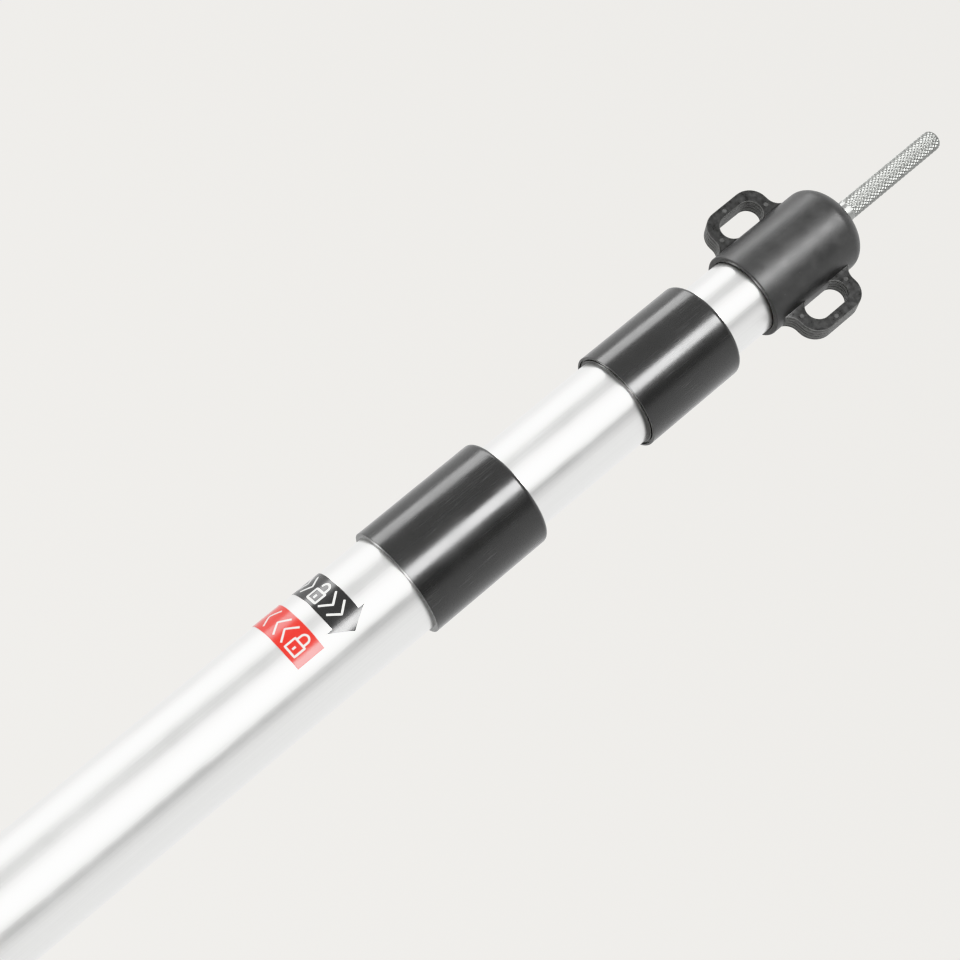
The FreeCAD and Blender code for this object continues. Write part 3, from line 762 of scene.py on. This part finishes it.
class POLE_OT_spike(bpy.types.Operator):
    """Make the knurled steel spike"""
    bl_idname = "pole.spike"
    bl_label = "Spike"

    def execute(self, context):
        settings = context.scene.pole_spike
        build = bmesh.new()
        turned(build, self.profile(settings), steps=10 * settings.starts, closed=False, shape=self.knurl(settings))
        # Faces cut deep in the knurl's grooves get the darker zinc: painted shade in the grooves.
        above, crest = top_z("head_cap") + 1.0 * MM, 3.0 * MM - 0.45 * settings.depth
        for face in build.faces:
            middle = face.calc_center_median()
            if middle.z > above and 2.5 * MM < math.hypot(middle.x, middle.y) < crest:
                face.material_index = 1
        materials = [zinc_finish("zinc_steel", settings.colour, settings),
                     zinc_finish("zinc_groove_painted_shade", settings.groove, settings)]
        stand_in_for(piece_from("spike_knurled", build, materials, sharp=60), "spike")
        return {"FINISHED"}

    def profile(self, settings):
        """Tail, flange, plain neck, knurled length in fine steps, and a blunt domed tip."""
        tip, cap_top = top_z("spike"), top_z("head_cap")
        tail, roof = base_z("spike"), top_z("inner_tube")
        outside, shank, flange = 3.0 * MM, 2.5 * MM, 5.9 * MM
        low = [(0, tail), (shank, tail), (shank, roof - 3 * MM), (flange, roof - 3 * MM),
               (flange, roof - 0.05 * MM), (shank, roof - 0.05 * MM), (shank, cap_top - 0.1 * MM),
               (2.9 * MM, cap_top + 0.02 * MM)]
        dome = 1.7 * MM
        start, stop = cap_top + settings.neck - 1.0 * MM, tip - dome
        count = 290
        knurled = [(outside - 0.1 * MM, start)]
        knurled += [(outside, start + (stop - start) * step / count) for step in range(1, count + 1)]
        end = []
        for step in range(1, 14):
            angle = math.pi / 2 * step / 14
            end.append((outside - dome * (1 - math.cos(angle)), stop + dome * math.sin(angle)))
        return [*low, *knurled, *end, (outside - dome, tip), (0, tip)]

    def knurl(self, settings):
        """Radius with two crossing sets of helical grooves cut in it, fading in above the neck."""
        start = top_z("head_cap") + settings.neck - 1.0 * MM
        stop = top_z("spike") - 0.4 * MM

        def shape(radius, height, angle):
            if height < start or height > stop or radius < 2.0 * MM:
                return radius
            fade = min(1.0, (height - start) / (1.5 * MM), (stop - height) / (0.8 * MM))
            turn = 2 * math.pi * (height - start) / settings.lead
            cut = 0.0
            for way in (-1, 1):
                phase = settings.starts * (angle + way * turn) / (2 * math.pi)
                off = abs(phase - round(phase)) * 2
                cut = max(cut, 1 - off / 0.8)
            return radius - settings.depth * fade * max(0.0, cut) ** 0.8
        return shape


class POLE_OT_labels(bpy.types.Operator):
    """Make the two wrapped labels and their signs"""
    bl_idname = "pole.labels"
    bl_label = "Labels"

    film = 0.1 * MM
    half_height = 4.1 * MM
    head_half_height = 6.2 * MM
    start_angle = math.radians(-105.0)
    black_end, black_tip, red_end = -0.0942, 0.1798, 0.0698     # radians from the labels' zero

    def execute(self, context):
        settings = context.scene.pole_labels
        white = film_finish("label_white", settings.white, settings)
        black = film_finish("black_label", settings.black, settings)
        red = film_finish("red_label", settings.red, settings)
        self.label("move_label", black, white, settings, self.black_end, self.black_tip, self.open_signs)
        self.label("lock_label", red, white, settings, self.red_end, None, self.locked_signs)
        return {"FINISHED"}

    def label(self, node, ink, white, settings, end_angle, tip_angle, signs):
        """One label: the film, its arrowhead if it has one, and the signs printed on it."""
        low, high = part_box(node)
        middle = (low.z + high.z) / 2
        tube = radius_of("outer_tube")
        start, end = self.start_angle * tube, end_angle * tube

        def place(across, up, radius):
            return wrap(across, up, radius, LABEL_FRONT, middle)

        build = bmesh.new()
        outer = tube + self.film
        slab(build, self.columns(start, end, lambda across: self.half_height), place, tube, outer)
        if tip_angle:
            tip = tip_angle * tube
            slope = self.head_half_height / (tip - end)
            slab(build, self.columns(end, tip, lambda across: max(0.02 * MM, (tip - across) * slope)),
                 place, tube, outer)
        film_faces = len(build.faces)
        for points, width in signs(settings, end):
            self.stroke(build, points, width, place, outer)
        build.faces.ensure_lookup_table()
        for face in build.faces[film_faces:]:
            face.material_index = 1
        stand_in_for(piece_from(node + "_film", build, [ink, white], sharp=40), node)

    def columns(self, start, end, half_width):
        """Columns no further apart than the tube's curve allows."""
        count = max(2, math.ceil((end - start) / (0.35 * MM)))
        places = [start + (end - start) * step / count for step in range(count + 1)]
        return [(across, -half_width(across), half_width(across)) for across in places]

    def stroke(self, build, points, width, place, outer):
        """A printed line along flat points, a hair thicker than the film."""
        fine = self.resample(points)
        rings = []
        for index, here in enumerate(fine):
            before = fine[max(index - 1, 0)]
            after = fine[min(index + 1, len(fine) - 1)]
            run = (after - before).normalized()
            side = Vector((-run.y, run.x)) * (width / 2)
            pair = (here + side, here - side)
            rings.append([build.verts.new(place(*pair[0], outer - 0.02 * MM)),
                          build.verts.new(place(*pair[1], outer - 0.02 * MM)),
                          build.verts.new(place(*pair[1], outer + 0.02 * MM)),
                          build.verts.new(place(*pair[0], outer + 0.02 * MM))])
        for first, second in zip(rings, rings[1:]):
            bridge(build, first, second)
        build.faces.new(rings[0])
        build.faces.new(reversed(rings[-1]))

    def resample(self, points):
        """The same line in short steps, its corners kept."""
        fine = [Vector(points[0])]
        for first, second in zip(points, points[1:]):
            first, second = Vector(first), Vector(second)
            count = max(1, math.ceil((second - first).length / (0.35 * MM)))
            fine += [first.lerp(second, step / count) for step in range(1, count + 1)]
        return fine

    def arc(self, centre, radius, start, stop, steps=14):
        """Points of an arc, in degrees."""
        points = []
        for step in range(steps + 1):
            angle = math.radians(start + (stop - start) * step / steps)
            points.append((centre[0] + radius * math.cos(angle), centre[1] + radius * math.sin(angle)))
        return points

    def padlock(self, settings, middle, shackle_lift):
        """A padlock: outlined body, keyhole and a shackle that may stand open."""
        tall, line = settings.sign_height, settings.stroke
        half_w, low, high = 1.75 * MM, -tall / 2 + line / 2, 0.35 * MM
        body = [(middle, low), (middle + half_w, low), (middle + half_w, high), (middle - half_w, high),
                (middle - half_w, low), (middle, low)]
        radius = 1.15 * MM
        bend = tall / 2 - line / 2 - radius
        shackle = [(middle - radius, high + shackle_lift), *self.arc((middle, bend), radius, 180, 0),
                   (middle + radius, high)]
        keyhole = [(middle, -1.0 * MM), (middle, -2.0 * MM)]
        return [(body, line), (shackle, line), (keyhole, line)]

    def chevron(self, settings, middle, way):
        """An arrow stroke that points along the label."""
        half, reach = settings.sign_height / 2 - settings.stroke / 2, 1.15 * MM
        return [([(middle - way * reach, half), (middle + way * reach, 0), (middle - way * reach, -half)],
                 settings.stroke)]

    def open_signs(self, settings, end):
        """Open padlock, then chevrons towards the arrowhead."""
        signs = self.padlock(settings, end - 9.7 * MM, 1.1 * MM)
        for offset in (2.4, 5.6, 14.5, 17.7):
            signs += self.chevron(settings, end - offset * MM, 1)
        return signs

    def locked_signs(self, settings, end):
        """Closed padlock, then chevrons the other way."""
        signs = self.padlock(settings, end - 4.6 * MM, 0)
        for offset in (8.9, 12.1, 17.0):
            signs += self.chevron(settings, end - offset * MM, -1)
        return signs


class POLE_OT_foot(bpy.types.Operator):
    """Make the fluted rubber foot"""
    bl_idname = "pole.foot"
    bl_label = "Foot"

    def execute(self, context):
        settings = context.scene.pole_foot
        outside, high = radius_of("foot_cap"), top_z("foot_cap")
        tube, floor = radius_of("outer_tube"), base_z("outer_tube")
        ribs = []
        for centre in (27.5 * MM, 31.0 * MM, 34.5 * MM):
            ribs += [(outside - 0.9 * MM, centre - 1.1 * MM, 0.5 * MM), (outside, centre - 0.7 * MM, 0.4 * MM),
                     (outside, centre + 0.7 * MM, 0.4 * MM), (outside - 0.9 * MM, centre + 1.1 * MM, 0.5 * MM)]
        corners = [(0, 0, 0), (5.0 * MM, 0, 0.2 * MM), (5.0 * MM, 1.2 * MM, 0.2 * MM),
                   (7.0 * MM, 1.2 * MM, 0.2 * MM), (7.0 * MM, 0, 0.2 * MM), (11.0 * MM, 0, 0.2 * MM),
                   (11.0 * MM, 1.2 * MM, 0.2 * MM), (13.0 * MM, 1.2 * MM, 0.2 * MM), (13.0 * MM, 0, 0.2 * MM),
                   (outside, 0, 2.0 * MM), (outside, 4.0 * MM, 0.5 * MM), (outside - 0.4 * MM, 5.0 * MM, 0.5 * MM),
                   (outside - 0.4 * MM, 23.0 * MM, 0.5 * MM), *ribs, (outside - 0.9 * MM, high, 0.9 * MM),
                   (tube + 0.02 * MM, high, 0.4 * MM), (tube + 0.02 * MM, floor, 0), (0, floor, 0)]
        build = bmesh.new()
        turned(build, self.split(rounded(corners, 5)), steps=224, closed=False, shape=self.flutes(settings))
        material = rubber_finish(settings)
        stand_in_for(piece_from("foot_cap_moulded", build, [material], sharp=50), "foot_cap")
        return {"FINISHED"}

    def split(self, profile):
        """The same section with its long runs divided, so that the flutes can fade."""
        fine = [Vector(profile[0])]
        for first, second in zip(profile, profile[1:]):
            first, second = Vector(first), Vector(second)
            count = max(1, math.ceil((second - first).length / (1.5 * MM)))
            fine += [first.lerp(second, step / count) for step in range(1, count + 1)]
        return fine

    def flutes(self, settings):
        """Radius with upright grip flutes between the ground ring and the ribs."""
        inside = radius_of("outer_tube") + 1.0 * MM

        def shape(radius, height, angle):
            if radius < inside or not 5.5 * MM < height < 22.5 * MM:
                return radius
            fade = min(1.0, (height - 5.5 * MM) / (2.5 * MM), (22.5 * MM - height) / (2.5 * MM))
            wave = 0.5 - 0.5 * math.cos(settings.flutes * angle)
            return radius - settings.flute_depth * fade * wave ** 2
        return shape


class POLE_OT_locks(bpy.types.Operator):
    """Give the hidden lock pieces and plugs their finishes"""
    bl_idname = "pole.locks"
    bl_label = "Locks"

    def execute(self, context):
        steel = bpy.data.materials["zinc_steel"]
        finishes = {
            "zinc_steel": steel,
            "lock_nylon": nylon_finish("lock_nylon", (0.62, 0.61, 0.57), 0.45),
            "shoe_nylon": nylon_finish("shoe_nylon", (0.06, 0.06, 0.065), 0.5),
        }
        for name, piece in frame["nodes"].items():
            material = finishes.get(slot_of(name))
            if material is None or piece.hide_render:
                continue
            if not piece.material_slots:
                piece.data.materials.append(material)
            for place in piece.material_slots:
                place.material = material
        return {"FINISHED"}


class POLE_OT_stage(bpy.types.Operator):
    """Make the floor, the soft studio light and the camera"""
    bl_idname = "pole.stage"
    bl_label = "Stage"

    def execute(self, context):
        settings = context.scene.pole_stage
        self.floor(settings)
        self.world(settings)
        self.camera(settings)
        camera_way = math.atan2(settings.camera_place[1], settings.camera_place[0])
        aim = Vector((0, 0, base_z("outer_sleeve") + 0.05))
        self.strip("front_strip", camera_way + math.radians(2), 0.95, 0.80, aim, (0.34, 1.15), 15.5)
        self.strip("side_strip", camera_way - math.radians(90), 0.95, 0.75, aim, (0.40, 1.2), 5.2)
        return {"FINISHED"}

    def floor(self, settings):
        """A plain pale floor."""
        build = bmesh.new()
        bmesh.ops.create_circle(build, cap_ends=True, segments=96, radius=2.4)
        finish = Finish("floor_paper", settings.floor, 0.8)
        grain = finish.effect(grain_group(), Scale=3.0, Detail=3.0)
        finish.blend(grain, tuple(part * 0.985 for part in settings.floor), settings.floor)
        piece_from("floor", build, [finish.material])

    def world(self, settings):
        """An even pale surround with one soft dark gap beside the front light, and a plain pale backdrop."""
        world = bpy.data.worlds.new("studio")
        bpy.context.scene.world = world
        world.use_nodes = True
        tree = world.node_tree
        shade = tree.nodes["Background"]
        out = tree.nodes["World Output"]
        place = add_node(tree, "ShaderNodeTexCoord")
        parts = add_node(tree, "ShaderNodeSeparateXYZ")
        angle = add_node(tree, "ShaderNodeMath", operation="ARCTAN2")
        gap_way = math.atan2(settings.camera_place[1], settings.camera_place[0]) + math.radians(38)
        offset = add_node(tree, "ShaderNodeMath", operation="SUBTRACT")
        offset.inputs[1].default_value = gap_way
        size = add_node(tree, "ShaderNodeMath", operation="ABSOLUTE")
        gap = add_node(tree, "ShaderNodeMapRange", {"From Min": math.radians(6), "From Max": math.radians(20),
                                                    "To Min": 0.42, "To Max": 1.0}, interpolation_type="SMOOTHSTEP")
        side = add_node(tree, "ShaderNodeMapRange", {"From Min": -0.7, "From Max": 0.1, "To Min": 0.8,
                                                     "To Max": 1.15}, interpolation_type="SMOOTHSTEP")
        both = add_node(tree, "ShaderNodeMath", operation="MULTIPLY")
        tree.links.new(place.outputs["Generated"], parts.inputs[0])
        tree.links.new(parts.outputs["Y"], angle.inputs[0])
        tree.links.new(parts.outputs["X"], angle.inputs[1])
        tree.links.new(angle.outputs[0], offset.inputs[0])
        tree.links.new(offset.outputs[0], size.inputs[0])
        tree.links.new(size.outputs[0], gap.inputs["Value"])
        shade.inputs["Color"].default_value = (1.0, 1.0, 1.0, 1.0)
        tree.links.new(parts.outputs["Y"], side.inputs["Value"])
        tree.links.new(gap.outputs["Result"], both.inputs[0])
        tree.links.new(side.outputs["Result"], both.inputs[1])
        tree.links.new(both.outputs[0], shade.inputs["Strength"])
        seen = add_node(tree, "ShaderNodeBackground", {"Color": (*settings.backdrop, 1.0)})
        fade = add_node(tree, "ShaderNodeMapRange", {"From Min": -0.1, "From Max": 0.6, "To Min": 1.05,
                                                     "To Max": 0.96})
        tree.links.new(parts.outputs["Z"], fade.inputs["Value"])
        tree.links.new(fade.outputs["Result"], seen.inputs["Strength"])
        path = add_node(tree, "ShaderNodeLightPath")
        mix = add_node(tree, "ShaderNodeMixShader")
        tree.links.new(path.outputs["Is Camera Ray"], mix.inputs[0])
        tree.links.new(shade.outputs[0], mix.inputs[1])
        tree.links.new(seen.outputs[0], mix.inputs[2])
        tree.links.new(mix.outputs[0], out.inputs["Surface"])

    def strip(self, name, way, distance, height, aim, size, radiance):
        """A soft rectangular light that stands at that direction and faces the pole."""
        data = bpy.data.lights.new(name, "AREA")
        data.shape = "RECTANGLE"
        data.size, data.size_y = size
        data.energy = radiance * math.pi * size[0] * size[1]
        light = bpy.data.objects.new(name, data)
        place = Vector((distance * math.cos(way), distance * math.sin(way), height))
        light.location = place
        level = Vector((place.x, place.y, 0)).normalized()
        side = Vector((0, 0, 1)).cross(level)
        turn = Matrix((side, Vector((0, 0, 1)), level)).transposed().to_4x4()
        light.matrix_world = Matrix.Translation(place) @ turn
        light.visible_camera = False
        bpy.context.scene.collection.objects.link(light)

    def camera(self, settings):
        """The camera, placed from the lower sleeve, looking up at the head with the roll in the settings."""
        data = bpy.data.cameras.new("camera")
        data.lens, data.sensor_width = settings.lens, 36.0
        camera = bpy.data.objects.new("camera", data)
        around, rise = settings.azimuth, settings.elevation
        back = Vector((math.sin(around) * math.cos(rise), -math.cos(around) * math.cos(rise), math.sin(rise)))
        level = Vector((math.cos(around), math.sin(around), 0))
        upright = back.cross(level)
        right = level * math.cos(settings.roll) + upright * math.sin(settings.roll)
        up = back.cross(right)
        place = Vector(settings.camera_place) + Vector((0, 0, base_z("outer_sleeve")))
        camera.matrix_world = Matrix.Translation(place) @ Matrix((right, up, back)).transposed().to_4x4()
        bpy.context.scene.collection.objects.link(camera)
        bpy.context.scene.camera = camera
        bpy.context.scene.view_settings.view_transform = "Khronos PBR Neutral"


OPERATORS = (POLE_OT_tubes, POLE_OT_sleeves, POLE_OT_head_cap, POLE_OT_spike, POLE_OT_labels, POLE_OT_foot,
             POLE_OT_locks, POLE_OT_stage)


class POLE_PT_panel(bpy.types.Panel):
    """The pole's pieces in the sidebar"""
    bl_label = "Support pole"
    bl_space_type = "VIEW_3D"
    bl_region_type = "UI"
    bl_category = "Pole"

    def draw(self, context):
        for operator in OPERATORS:
            self.layout.operator(operator.bl_idname)
        for name in SETTINGS:
            box = self.layout.box()
            box.label(text=name)
            group = getattr(context.scene, name)
            for prop in group.bl_rna.properties:
                if prop.identifier not in ("rna_type", "name"):
                    box.prop(group, prop.identifier)


CLASSES = (*SETTINGS.values(), *OPERATORS, POLE_PT_panel)


def register():
    for item in CLASSES:
        bpy.utils.register_class(item)
    for name, group in SETTINGS.items():
        setattr(bpy.types.Scene, name, PointerProperty(type=group))


def unregister():
    for name in SETTINGS:
        delattr(bpy.types.Scene, name)
    for item in reversed(CLASSES):
        bpy.utils.unregister_class(item)


def main():
    register()
    for operator in OPERATORS:
        group, name = operator.bl_idname.split(".")
        getattr(getattr(bpy.ops, group), name)()


if __name__ == "__main__":
    main()
